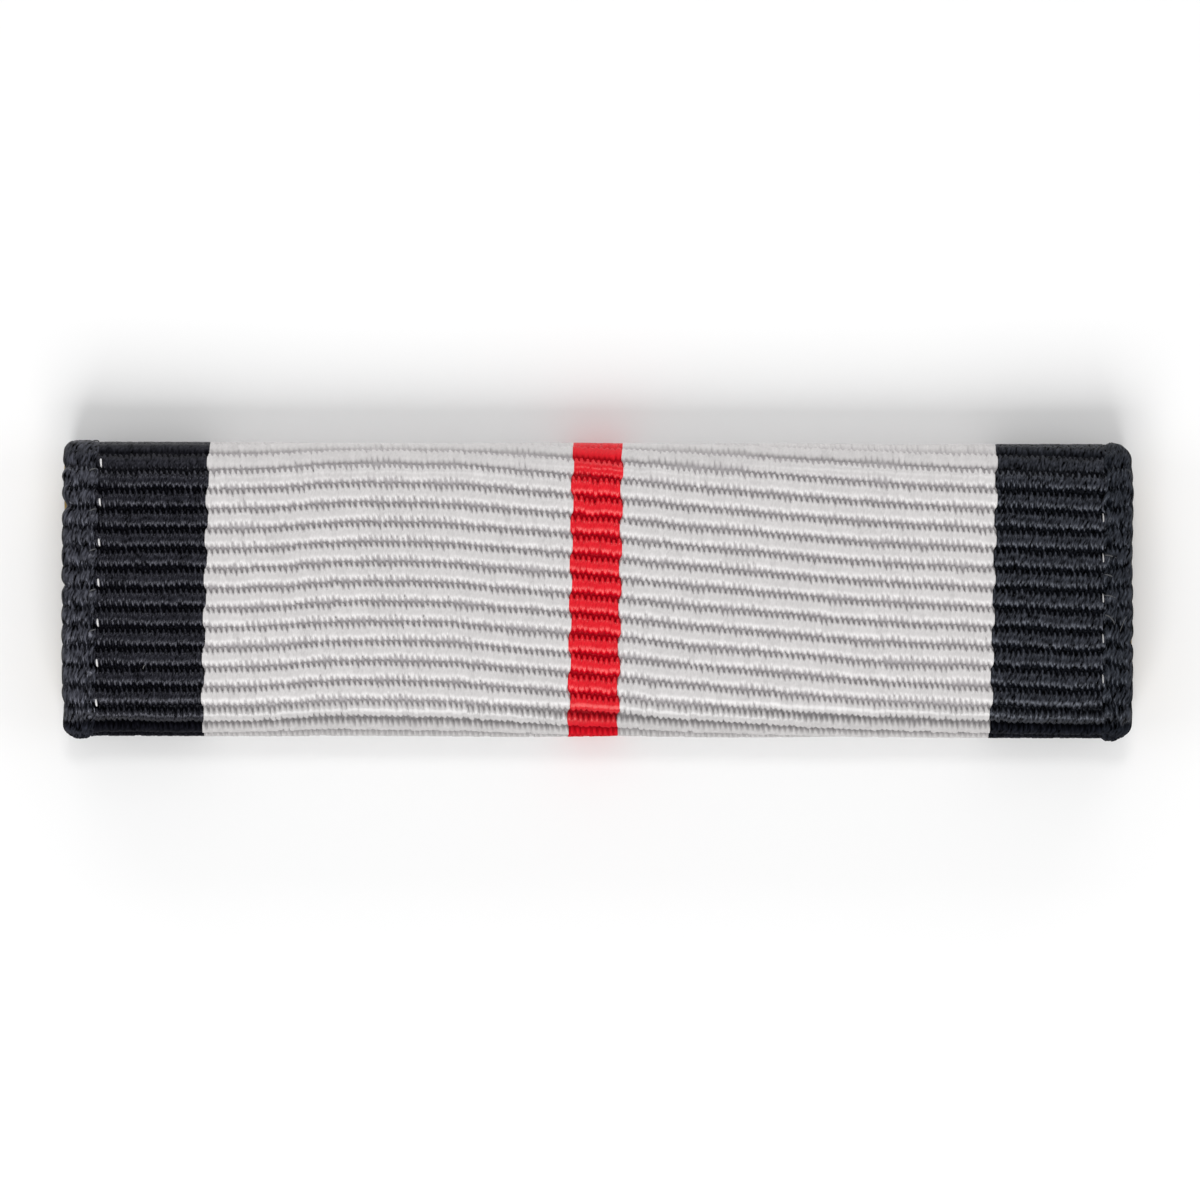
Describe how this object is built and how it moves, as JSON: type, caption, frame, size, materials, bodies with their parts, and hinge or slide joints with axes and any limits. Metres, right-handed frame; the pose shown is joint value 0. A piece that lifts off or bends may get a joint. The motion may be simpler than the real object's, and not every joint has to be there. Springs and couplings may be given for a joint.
{
  "type": "ribbon bar",
  "caption": "Slide-on ribbon bar: a striped rep ribbon in black, white and red wound round a flat brass channel that is open along its back.",
  "frame": {"origin": "under the middle of the bar, on the surface that its back lies on", "axes": "+X along the bar, +Y up the front face as it is worn, +Z out of the front face"},
  "size_m": [0.0348, 0.0098, 0.0029],
  "materials": {
    "channel_brass": "dull, slightly tarnished sheet",
    "selvedge_left": "matt woven edge",
    "border_left": "ribbed warp-faced weave",
    "field_left": "ribbed warp-faced weave",
    "centre_stripe": "ribbed warp-faced weave",
    "field_right": "ribbed warp-faced weave",
    "border_right": "ribbed warp-faced weave",
    "selvedge_right": "matt woven edge"
  },
  "bodies": {
    "root": {"channel": "channel_brass", "ribbon_selvedge_left": "selvedge_left", "ribbon_border_left": "border_left", "ribbon_field_left": "field_left", "ribbon_centre": "centre_stripe", "ribbon_field_right": "field_right", "ribbon_border_right": "border_right", "ribbon_selvedge_right": "selvedge_right"}
  },
  "joints": []
}
